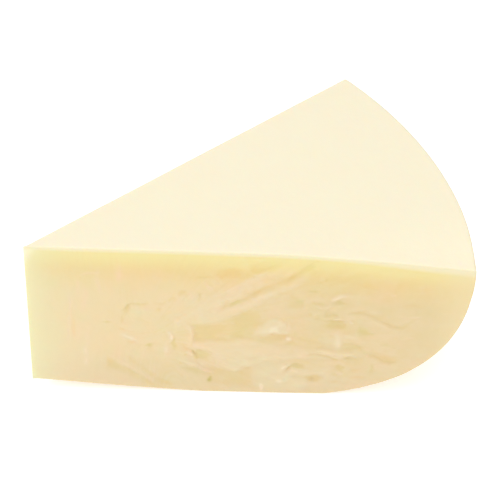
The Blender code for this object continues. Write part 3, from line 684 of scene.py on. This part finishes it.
def patch(lower, rim, level, tip):
    """Fills four boundary runs: the blend across, plus the blend up, less the blend of the four corners."""
    right = np.linspace(0, 1, len(lower))[:, None, None]
    up = np.linspace(0, 1, len(tip))[None, :, None]
    upward = (1 - up) * lower[:, None] + up * level[:, None]
    sideways = (1 - right) * tip[None] + right * rim[None]
    near = (1 - up) * lower[0] + up * level[0]
    far = (1 - up) * lower[-1] + up * level[-1]
    return upward + sideways - (1 - right) * near - right * far


def relaxed(grid):
    """The grid with every inner point drawn again and again to the mean of its four neighbours, which
    evens out rows that crowd."""
    for _ in range(RELAX_ROUNDS):
        grid[1:-1, 1:-1] = (grid[:-2, 1:-1] + grid[2:, 1:-1] + grid[1:-1, :-2] + grid[1:-1, 2:]) / 4
    return grid


def around(lower, rim, level, tip):
    """The four runs as one closed loop: out along the bottom, up the rim, back on top, down the tip."""
    return np.concatenate([lower[:-1], rim[:-1], level[:0:-1], tip[:0:-1]])


def four_runs(loop, columns, rows):
    """The loop as its four runs again."""
    ends = np.cumsum([columns - 1, rows - 1, columns - 1])
    closed = np.concatenate([loop, loop[:1]])
    level, tip = closed[ends[1] : ends[2] + 1][::-1], closed[ends[2] :][::-1]
    return closed[: ends[0] + 1], closed[ends[0] : ends[1] + 1], level, tip


def inward_mitre(loop):
    """For each point of a closed loop, the step that moves both its edges in by one."""
    edge = np.roll(loop, -1, 0) - loop
    edge = edge / np.linalg.norm(edge, axis=1)[:, None]
    normal = np.stack([-edge[:, 1], edge[:, 0]], -1)
    before = np.roll(normal, 1, 0)
    return (normal + before) / (1 + (normal * before).sum(1))[:, None]


def quads(numbers):
    """Faces between neighbouring rows of vertex numbers, seen from the side where the first index runs
    to the right and the second one up."""
    corners = (numbers[:-1, :-1], numbers[1:, :-1], numbers[1:, 1:], numbers[:-1, 1:])
    return np.stack([corner.ravel() for corner in corners], -1)


def halving(fine, coarse):
    """Triangles between a closed row of vertex numbers and one that has every second of its points."""
    even, odd, following = fine[::2], fine[1::2], np.roll(fine[::2], -1)
    onward = np.roll(coarse, -1)
    corners = ((even, coarse, odd), (odd, coarse, onward), (odd, onward, following))
    return np.concatenate([np.stack(three, -1) for three in corners])


def edge_rows(form, loop, side):
    """The rounded edge of one cut: its inner outline, then rows that turn by equal angles on a quarter
    circle whose radius is the edge's, each moved in from the outline and back from the cut."""
    along, height = loop[:, 0], loop[:, 1]
    face_loop = np.stack([along, form.on_cut(along, height, side)], -1)
    mitre = inward_mitre(face_loop)
    radius = np.minimum(EDGE_ROUND, EDGE_ROUND_SHARE * along)
    rows = []
    for turn in np.linspace(0, pi / 2, EDGE_ROWS + 1):
        inset = face_loop + mitre * (radius * (1 - sin(turn)))[:, None]
        back = radius * (1 - cos(turn))
        level = form.resting(*form.behind_cut(along, back, side), height)
        inset[:, 1] += level - face_loop[:, 1]
        rows.append((inset, back, np.full_like(along, sin(turn))))
    return rows


def band_rows(form, loop, depth_near, depth_far):
    """Rows from one cut's edge to the other's, on arcs about the wheel's axis. Each keeps the tears'
    depth at the nearer edge, which dies away exponentially and is none in the middle, and the rim is
    faintly dented by noise. They crowd together at both edges."""
    along, height = loop[:, 0], loop[:, 1]
    radius = np.minimum(EDGE_ROUND, EDGE_ROUND_SHARE * along)
    ahead, across = form.behind_cut(along, radius, 1)
    reach = np.hypot(ahead + form.tip_to_axis, across)
    half = np.arctan2(across, ahead + form.tip_to_axis)
    on_rim = eased(along, *DENT_ALONG) * eased(height, *DENT_LOW) * (1 - eased(height, *DENT_HIGH))
    rows = []
    for step in np.arange(1, BAND_ROWS + 1) / (BAND_ROWS + 1):
        share = step - BAND_CROWDING * sin(2 * pi * step) / (2 * pi)
        side = -1 if share < 0.5 else 1
        angle = half * (2 * share - 1)
        ahead, across = reach * np.cos(angle) - form.tip_to_axis, reach * np.sin(angle)
        behind = ahead * sin(form.half_angle) - side * across * cos(form.half_angle)
        edge_depth = depth_near if side < 0 else depth_far
        behind = behind + edge_depth * np.exp(-behind / DEPTH_REACH) * abs(2 * share - 1)
        ahead, across = form.behind_cut(along, behind, side)
        turn, rise = form.radius * angle / DENT_SIZE, height / DENT_SIZE
        dent = noise(turn, rise, SEED + DENT)
        dent = dent + DENT_FINE_SHARE * noise(turn * DENT_FINER, rise * DENT_FINER, SEED + FINE_DENT)
        dent = DENT_DEPTH * (1 + DENT_FINE_SHARE + dent) * on_rim * eased(behind, *DENT_BEHIND)
        kept = 1 - dent / reach
        ahead, across = (ahead + form.tip_to_axis) * kept - form.tip_to_axis, across * kept
        rows.append(np.stack([ahead, across, form.resting(ahead, across, height)], -1))
    return rows


def cheese_facts(form, level, places, on_cut, torn_cut, torn, side):
    """What the cheese reads at each place, by name. on_cut is (distance from the tip, height), and
    torn_cut is the depth, the tone and the tint."""
    along, up = on_cut.T
    top = form.resting(places[:, 0], places[:, 1], np.full(len(places), form.cut_height))
    across, length = fan(along, up)
    flecks = np.zeros(len(along))
    for fleck_along, fleck_up, size, strength in FRONT_FLECKS if side < 0 else BACK_FLECKS:
        flecks += strength * np.exp(-(((along - fleck_along) ** 2 + (up - fleck_up) ** 2) / size**2))
    depth, tone, tint = torn_cut
    return {
        "below_top": np.maximum(top - places[:, 2], 0),
        "level": (1 - torn) * level,
        "torn": torn,
        "depth": depth * torn,
        "tone": tone * torn,
        "tint": tint * torn,
        "from_tip": along,
        "facing_back": np.full(len(along), side > 0) * torn,
        "fleck": flecks * torn,
        "flow_across": across,
        "flow_along": length,
    }


def wedge_surface(form):
    """The whole wedge: a patch on each cut, the rows between them, and one row of triangles where the
    front cut's finer rows meet the others. Gives places, faces and facts."""
    fine_size = (2 * COLUMNS - 1, 2 * ROWS - 1)
    fine = around(*form.outline(*fine_size))
    faces, places, facts, edge_depths, strips = [], [], [], [], []
    total = 0
    for side, loop, size in ((-1, fine, fine_size), (1, fine[::2], (COLUMNS, ROWS))):
        level = eased(loop[:, 1], form.cut_height - CORNER_RADIUS, form.cut_height)
        edge = edge_rows(form, loop, side)
        face = relaxed(patch(*four_runs(edge[0][0], *size))).reshape(-1, 2)
        torn_cut = form.tear(*face.T, side)
        ahead, across = form.behind_cut(face[:, 0], torn_cut[0], side)
        face_places = np.stack([ahead, across, face[:, 1]], -1)
        places.append(face_places)
        facts.append(cheese_facts(form, 0, face_places, face, torn_cut, np.ones(len(face)), side))
        numbers = np.arange(len(face)).reshape(size) + total
        faces.append(quads(numbers) if side < 0 else quads(numbers)[:, ::-1])
        strip = [around(numbers[:, 0], numbers[-1], numbers[:, -1], numbers[0])]
        total += len(face)
        for inset, back, turned in edge[1:]:
            torn_cut = form.tear(*inset.T, side)
            kept_depth = torn_cut[0] * np.exp(-back / DEPTH_REACH)
            ahead, across = form.behind_cut(inset[:, 0], back + kept_depth, side)
            row_places = np.stack([ahead, across, inset[:, 1]], -1)
            places.append(row_places)
            facts.append(cheese_facts(form, level, row_places, inset, torn_cut, 1 - turned, side))
            strip.append(np.arange(len(loop)) + total)
            total += len(loop)
        edge_depths.append(torn_cut[0])
        strips.append(strip)
    middle = []
    none = np.zeros(len(loop))
    for row_places in band_rows(form, loop, edge_depths[0][::2], edge_depths[1]):
        on_cut = np.stack([loop[:, 0], row_places[:, 2]], -1)
        places.append(row_places)
        facts.append(cheese_facts(form, level, row_places, on_cut, (none, none, none), none, -1))
        middle.append(np.arange(len(loop)) + total)
        total += len(loop)
    for belt in (np.array(strips[0]), np.array(middle + strips[1][::-1])):
        faces.append(quads(np.concatenate([belt, belt[:, :1]], 1)))
    joined = {name: np.concatenate([fact[name] for fact in facts]) for name in facts[0]}
    placed = np.concatenate(places) - (form.base_middle, 0, 0)
    faces = np.concatenate(faces).tolist() + halving(strips[0][-1], middle[0]).tolist()
    return placed * MM, faces, joined


class Amount:
    """A number that changes over the surface. Arithmetic on it adds Math nodes to its recipe."""

    def __init__(self, recipe, socket):
        self.recipe = recipe
        self.socket = socket

    def worked(self, operation, first, second, clamp=False):
        settings = {"operation": operation, "use_clamp": clamp}
        return self.recipe.amount("ShaderNodeMath", settings, {0: first, 1: second})

    def __add__(self, other):
        return self.worked("ADD", self, other)

    __radd__ = __add__

    def __sub__(self, other):
        return self.worked("SUBTRACT", self, other)

    def __rsub__(self, other):
        return self.worked("SUBTRACT", other, self)

    def __mul__(self, other):
        return self.worked("MULTIPLY", self, other)

    __rmul__ = __mul__

    def within_one(self):
        """The same number held between 0 and 1."""
        return self.worked("ADD", self, 0.0, clamp=True)

    def dying_away(self, reach):
        """One where the number is 0, falling exponentially over the reach."""
        return self.recipe.amount("ShaderNodeMath", {"operation": "EXPONENT"}, {0: self * (-1 / reach)})

    def eased(self, start, end):
        """Smooth step from 0 at start to 1 at end."""
        settings = {"interpolation_type": "SMOOTHSTEP"}
        values = {"Value": self, 1: start, 2: end, 3: 0.0, 4: 1.0}
        return self.recipe.amount("ShaderNodeMapRange", settings, values)


class Recipe:
    """One material's nodes."""

    def __init__(self, name):
        self.material = bpy.data.materials.new(name)
        self.material.use_nodes = True
        self.tree = self.material.node_tree
        self.shader = self.tree.nodes["Principled BSDF"]

    def add(self, kind, settings, values):
        """Adds a node, sets it, and fills its sockets with values or links."""
        node = self.tree.nodes.new(kind)
        for name, value in settings.items():
            setattr(node, name, value)
        self.fill(node, values)
        return node

    def fill(self, node, values):
        """Fills a node's sockets with values or links."""
        for key, value in values.items():
            value = value.socket if isinstance(value, Amount) else value
            if isinstance(value, bpy.types.NodeSocket):
                self.tree.links.new(value, node.inputs[key])
            elif node.inputs[key].type == "RGBA":
                node.inputs[key].default_value = (*value, 1)
            else:
                node.inputs[key].default_value = value

    def amount(self, kind, settings, values, output=0):
        """Adds a node and gives one of its outputs as a number."""
        return Amount(self, self.add(kind, settings, values).outputs[output])

    def fact(self, name):
        """A number that the piece's mesh holds at each of its points."""
        return self.amount("ShaderNodeAttribute", {"attribute_name": name}, {}, "Fac")

    def blend(self, first, second, share):
        """The first colour, turning into the second as the share goes from 0 to 1."""
        return self.add("ShaderNodeMix", {"data_type": "RGBA"}, {0: share, 6: first, 7: second}).outputs[2]

    def combined(self, first, second, third):
        """Three numbers as one vector."""
        return self.add("ShaderNodeCombineXYZ", {}, {0: first, 1: second, 2: third}).outputs[0]

    def multiplied(self, first, second):
        """One colour times another, part by part."""
        return self.add("ShaderNodeVectorMath", {"operation": "MULTIPLY"}, {0: first, 1: second}).outputs[0]

    def clouds(self, where, scale, detail=3.0, roughness=0.5):
        """Soft random cloud from 0 to 1, with a number of features to the metre or to the unit of where."""
        values = {"Vector": where, "Scale": scale, "Detail": detail, "Roughness": roughness}
        return self.amount("ShaderNodeTexNoise", {}, values)


def cheese(looks):
    """Paste that is deeper in its recesses and paler on its folds, partly as painted shade and painted
    light, with painted highlights on the smear and painted shadows beside flakes, a yellow band of painted
    light through the thin cheese just under the level cut, more of it by the rim and at the pale tip, a
    cream level cut painted paler for the light from above, painted shade along its rounded edge, and a
    slightly deeper rind."""
    recipe = Recipe("cheese")
    place = recipe.add("ShaderNodeTexCoord", {}, {}).outputs["Object"]
    below, level, torn = (recipe.fact(name) for name in ("below_top", "level", "torn"))
    depth, tone, tint, from_tip = (recipe.fact(name) for name in ("depth", "tone", "tint", "from_tip"))
    fleck, facing_back = recipe.fact("fleck"), recipe.fact("facing_back")
    flow = recipe.combined(recipe.fact("flow_across"), recipe.fact("flow_along") * FLOW_STRETCH, 0.0)
    patches = recipe.clouds(place, PATCH_SCALE, 2.0)
    clouds = recipe.clouds(place, CLOUD_SCALE, 2.0)
    mottle = recipe.clouds(place, MOTTLE_SCALE, 3.0)
    streaks = recipe.clouds(flow, STREAK_SCALE, 3.0, 0.6)

    # the cut cheese: its slow changes, then its hollows and folds with their painted shade and painted
    # light, then what lies at its edges, with painted light through its thin parts
    paste = recipe.blend(looks.paste, looks.far_paste, from_tip.eased(*FAR_PASTE_AT))
    paste = recipe.blend(paste, looks.lower_paste, below.eased(*LOWER_PASTE_AT))
    paste = recipe.blend(paste, looks.upper_paste, 1 - below.eased(*UPPER_PASTE_AT))
    # relief is the marks' tone, with their depth painted in as shade in hollows and as light on raised
    # parts
    relief = tone - DEPTH_SHADE * depth
    texture = (streaks - 0.5) * STREAK_TEXTURE + (mottle - 0.5) * MOTTLE_TEXTURE
    texture = texture + (patches - 0.5) * PATCH_TEXTURE
    texture = texture * (1 - (depth * HOLLOW_FULL).within_one() * HOLLOW_CALM)
    # painted shade darkens hollows and dark marks, partly their deeper colour; raised parts and pale marks
    # take the fold colour, partly as painted light
    deep = ((relief + texture) * -1.0).within_one()
    paste = recipe.multiplied(paste, recipe.blend(WHITE, looks.recess_shade_and_stain, deep))
    paste = recipe.blend(paste, looks.fold, (relief + texture).within_one() * FOLD_SHARE)
    # the palest marks become painted highlights
    paste = recipe.blend(paste, looks.glint, (tone - GLINT_FROM).within_one() * GLINT_SHARE)
    warmth = tint + (clouds - 0.5) * WARM_CLOUDS
    stain = recipe.combined(warmth * WARM_RED + 1.0, 1.0 - warmth * WARM_GREEN, 1.0)
    paste = recipe.multiplied(paste, stain)
    # a yellow band of painted light that comes through the thin cheese just under the level cut
    band = (1 - below.eased(*PAINTED_EDGE_GLOW_AT)) * (clouds * 0.5 + streaks * 0.5 + PAINTED_EDGE_GLOW_BASE)
    paste = recipe.blend(paste, looks.painted_edge_glow, band.within_one())
    # painted light that comes through the thin cheese by the rim
    paste = recipe.blend(paste, looks.painted_rim_light, from_tip.eased(*PAINTED_RIM_LIGHT_AT) * PAINTED_RIM_LIGHT_SHARE)
    # painted light that comes through the thin tip, less on the back cut where less light falls
    painted_tip_light = from_tip.dying_away(PAINTED_TIP_LIGHT_REACH) * (PAINTED_TIP_LIGHT_SHARE - facing_back * PAINTED_TIP_LIGHT_LESS_BEHIND)
    paste = recipe.blend(paste, looks.tip, painted_tip_light)
    # the level cut's paler colour, painted light, reaches down over its edge, and further near the tip
    pale_reach = from_tip.eased(*PALE_FURTHER_AT) * PALE_FURTHER + PALE_REACH
    top_light_spread = 1 - (below * TOP_LIGHT_BY_HEIGHT + from_tip * TOP_LIGHT_BY_TIP).eased(0.0, TOP_LIGHT_FULL)
    paste = recipe.blend(paste, looks.level, 1 - (1 - top_light_spread) * below.eased(-0.7, pale_reach))

    # the rind, the level cut painted paler for the light from above, the painted shade along the edge
    # between it and the cuts, and the flecks
    skin = recipe.blend(looks.rind, looks.far_paste, patches)
    # the same painted light through the thin tip, on the rind
    skin = recipe.blend(skin, looks.tip, from_tip.dying_away(SKIN_PAINTED_TIP_LIGHT_REACH))
    worn_spots = ((mottle - 0.5) * SPOT_CONTRAST + (clouds - 0.5) * SPOT_CONTRAST).within_one()
    skin = recipe.multiplied(skin, recipe.blend(WHITE, looks.recess_shade_and_stain, worn_spots))
    colour = recipe.blend(skin, paste, torn)
    # the level cut is the same paste, painted paler for the strong light and sheen from above
    top = recipe.blend(looks.level, looks.level_warm, patches * WARM_PATCH_SHARE)
    colour = recipe.blend(colour, top, level)
    # painted shade along the rounded edge between the level cut and the cuts, less on the back cut
    edge = torn * (1 - torn) * 4.0 * (1 - below.eased(0.0, EDGE_SHADE_LINE_REACH))
    edge = edge * EDGE_SHADE_LINE_SHARE + torn * (1 - below.eased(0.4, pale_reach)) * EDGE_SHADE_SHARE
    colour = recipe.blend(colour, looks.edge, edge.within_one() * (1 - facing_back * EDGE_SHADE_LESS_BEHIND))
    colour = recipe.blend(colour, looks.fleck, fleck.within_one())

    roughness = ROUGHNESS + (mottle - 0.5) * ROUGH_MOTTLE - tone.within_one() * WET_TONE
    bumps = (streaks * torn * 0.4) + mottle * (0.7 - torn * 0.35) + patches * 0.3
    values = {"Strength": BUMP_STRENGTH, "Distance": BUMP_HEIGHT, "Height": bumps}
    bump = recipe.add("ShaderNodeBump", {}, values)
    recipe.fill(
        recipe.shader,
        {
            "Base Color": colour,
            "Roughness": roughness,
            "Normal": bump.outputs[0],
            "IOR": 1.42,
            "Subsurface Weight": looks.softness,
            "Subsurface Radius": (1.0, 0.6, 0.28),
            "Subsurface Scale": 0.004,
        },
    )
    return recipe.material


def plain_floor(colour, glow):
    """Matt floor with a barely varying tone."""
    recipe = Recipe("floor")
    place = recipe.add("ShaderNodeTexCoord", {}, {}).outputs["Object"]
    tone = recipe.clouds(place, 3.0)
    shade = tuple(0.98 * part for part in colour)
    recipe.fill(
        recipe.shader,
        {
            "Base Color": recipe.blend(colour, shade, tone),
            "Roughness": 0.9,
            "Emission Color": WHITE,
            "Emission Strength": glow,
        },
    )
    return recipe.material


def setting(name, description, default, **kind):
    """A number that a user can change, with its unit or its subtype."""
    return FloatProperty(name=name, description=description, default=default, **kind)


def colour_setting(name, description, default):
    """A colour that a user can change."""
    return FloatVectorProperty(name=name, description=description, default=default, subtype="COLOR", size=3)


class GoudaSizes(PropertyGroup):
    """Sizes of the wedge."""

    wheel_radius: setting("Wheel radius", "Radius of the whole wheel", 0.175, unit="LENGTH")
    wedge_angle: setting("Wedge angle", "Angle between the two cuts", radians(45), subtype="ANGLE")
    tip_to_axis: setting("Tip to axis", "How far outside the axis the cuts meet", 0.0312, unit="LENGTH")
    cut_height: setting("Cut height", "Height of the level cut on the wheel", 0.0601, unit="LENGTH")
    tears: setting("Tears", "Strength of the torn relief", 1.0, subtype="FACTOR")
    streaks: setting("Streaks", "Depth of the knife's streaks", 0.00005, unit="LENGTH")
    grain: setting("Grain", "Depth of the fine grain", 0.00004, unit="LENGTH")


class GoudaLooks(PropertyGroup):
    """Colours of the cheese, among them painted light and painted shade."""

    paste: colour_setting("Paste", "The cut cheese", (0.716, 0.574, 0.338))
    far_paste: colour_setting("Far paste", "The cut cheese towards the rim", (0.677, 0.538, 0.307))
    upper_paste: colour_setting("Upper paste", "The cut cheese near the level cut", (0.715, 0.55, 0.256))
    lower_paste: colour_setting("Lower paste", "The cut cheese near the underside", (0.680, 0.550, 0.340))
    # the smear's paler colour, and painted light on raised parts
    fold: colour_setting("Fold", "Raised and smeared cheese", (0.705, 0.58, 0.375))
    # painted shade in hollows on the cuts, and the rind's own darker spots
    recess_shade_and_stain: colour_setting("Recess stain", "What hollows take from the colour", (0.965, 0.95, 0.80))
    # painted highlights
    glint: colour_setting("Glint", "Wet highlights on the smear", (0.75, 0.64, 0.45))
    # painted light that comes through the thin cheese just under the level cut
    painted_edge_glow: colour_setting("Edge band", "Just under the level cut", (0.745, 0.65, 0.30))
    # painted light that comes through the thin cheese by the rim
    painted_rim_light: colour_setting("Rim glow", "The cut cheese next to the rim", (0.735, 0.625, 0.362))
    # painted light that comes through the thin tip
    tip: colour_setting("Tip", "The thin tip", (0.705, 0.69, 0.42))
    # the same paste painted paler for the light and sheen from above, and its warmer patches too
    level: colour_setting("Level cut", "The top", (0.828, 0.768, 0.58))
    # painted shade along the rounded edge
    edge: colour_setting("Edge", "The rounded edge of the level cut", (0.725, 0.655, 0.44))
    level_warm: colour_setting("Warm patches", "Warmer patches of the top", (0.83, 0.75, 0.55))
    rind: colour_setting("Rind", "The outer side and the underside", (0.66, 0.50, 0.245))
    fleck: colour_setting("Fleck", "Small dark flecks", (0.50, 0.41, 0.12))
    softness: setting("Softness", "Share of light that passes under the surface", 0.3, subtype="FACTOR")


class GoudaStudio(PropertyGroup):
    """The stage, its lights and its camera."""

    floor: colour_setting("Floor", "Colour of the floor", (0.72, 0.72, 0.72))
    floor_glow: setting("Floor glow", "Light that the floor gives off itself", 0.5)
    sky: setting("Sky", "Strength of the even light from all round", 0.78)
    overhead: setting("Overhead", "Softbox above the wedge", 7.6, subtype="POWER", unit="POWER")
    side: setting("Side", "Softbox at the camera's left", 2.2, subtype="POWER", unit="POWER")
    azimuth: setting("Azimuth", "Where the camera stands round the wedge", radians(-20.31), subtype="ANGLE")
    elevation: setting("Elevation", "How high it looks down from", radians(37.75), subtype="ANGLE")
    roll: setting("Roll", "How far the picture is turned", radians(0.34), subtype="ANGLE")
    distance: setting("Distance", "From the camera to the point it looks at", 0.887, unit="LENGTH")


class GOUDA_OT_wedge(Operator):
    """Makes the wedge with its torn cuts, in place of the plain solid"""

    bl_idname = "gouda.wedge"
    bl_label = "Make the wedge"

    def execute(self, context):
        form = WedgeForm(context.scene.gouda_sizes)
        places, faces, facts = wedge_surface(form)
        mesh = bpy.data.meshes.new("torn_wedge")
        mesh.from_pydata(places, [], faces)
        mesh.shade_smooth()
        for name, values in facts.items():
            layer = mesh.attributes.new(name, "FLOAT", "POINT")
            layer.data.foreach_set("value", np.ascontiguousarray(values, np.float32))
        mesh.materials.append(cheese(context.scene.gouda_looks))
        if mesh.validate():
            raise RuntimeError("the wedge's mesh has faces that don't hold together")
        wedge = bpy.data.objects.new("torn_wedge", mesh)
        context.scene.collection.objects.link(wedge)
        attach(wedge, "root")
        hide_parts("gouda_wedge")
        return {"FINISHED"}


def softbox(name, power, width, place, target):
    """A square area light of that power, facing its target."""
    light = bpy.data.lights.new(name, "AREA")
    light.energy = power
    light.size = width
    holder = bpy.data.objects.new(name, light)
    bpy.context.scene.collection.objects.link(holder)
    holder.location = place
    holder.rotation_euler = (Vector(target) - Vector(place)).to_track_quat("-Z", "Y").to_euler()
    return holder


class GOUDA_OT_stage(Operator):
    """Makes the floor, the lights, the sky and the camera"""

    bl_idname = "gouda.stage"
    bl_label = "Make the stage"

    def execute(self, context):
        scene = context.scene
        studio = scene.gouda_studio
        half = FLOOR_WIDTH / 2
        corners = [(-half, -half, 0), (half, -half, 0), (half, half, 0), (-half, half, 0)]
        mesh = bpy.data.meshes.new("floor")
        mesh.from_pydata(corners, [], [(0, 1, 2, 3)])
        mesh.materials.append(plain_floor(studio.floor, studio.floor_glow))
        floor = bpy.data.objects.new("floor", mesh)
        scene.collection.objects.link(floor)

        softbox("overhead", studio.overhead, OVERHEAD_WIDTH, OVERHEAD_PLACE, LOOK_AT)
        softbox("side", studio.side, SIDE_WIDTH, SIDE_PLACE, LOOK_AT)
        world = bpy.data.worlds.new("sky")
        world.use_nodes = True
        sky = world.node_tree.nodes["Background"]
        sky.inputs["Color"].default_value = (1, 1, 1, 1)
        sky.inputs["Strength"].default_value = studio.sky
        scene.world = world
        scene.view_settings.view_transform = "Standard"

        turn = Matrix.Rotation(studio.azimuth, 3, "Z") @ Matrix.Rotation(pi / 2 - studio.elevation, 3, "X")
        turn = turn @ Matrix.Rotation(-studio.roll, 3, "Z")
        lens = bpy.data.cameras.new("camera")
        lens.lens = FOCAL_LENGTH
        lens.sensor_width = SENSOR_WIDTH
        camera = bpy.data.objects.new("camera", lens)
        eye = Vector(LOOK_AT) + turn.col[2] * studio.distance
        camera.matrix_world = Matrix.Translation(eye) @ turn.to_4x4()
        scene.collection.objects.link(camera)
        scene.camera = camera
        return {"FINISHED"}


class GOUDA_PT_panel(Panel):
    """Lists the pieces and what can be changed"""

    bl_label = "Gouda wedge"
    bl_space_type = "VIEW_3D"
    bl_region_type = "UI"
    bl_category = "Gouda"

    def draw(self, context):
        scene = context.scene
        for group in (scene.gouda_sizes, scene.gouda_looks, scene.gouda_studio):
            box = self.layout.box()
            for name in group.bl_rna.properties.keys():
                if name not in ("rna_type", "name"):
                    box.prop(group, name)
        for operator in (GOUDA_OT_wedge, GOUDA_OT_stage):
            self.layout.operator(operator.bl_idname)


CLASSES = (GoudaSizes, GoudaLooks, GoudaStudio, GOUDA_OT_wedge, GOUDA_OT_stage, GOUDA_PT_panel)


def register():
    for kind in CLASSES:
        bpy.utils.register_class(kind)
    bpy.types.Scene.gouda_sizes = PointerProperty(type=GoudaSizes)
    bpy.types.Scene.gouda_looks = PointerProperty(type=GoudaLooks)
    bpy.types.Scene.gouda_studio = PointerProperty(type=GoudaStudio)


def unregister():
    for name in ("gouda_studio", "gouda_looks", "gouda_sizes"):
        delattr(bpy.types.Scene, name)
    for kind in reversed(CLASSES):
        bpy.utils.unregister_class(kind)


def main():
    register()
    bpy.ops.gouda.wedge()
    bpy.ops.gouda.stage()


if __name__ == "__main__":
    main()
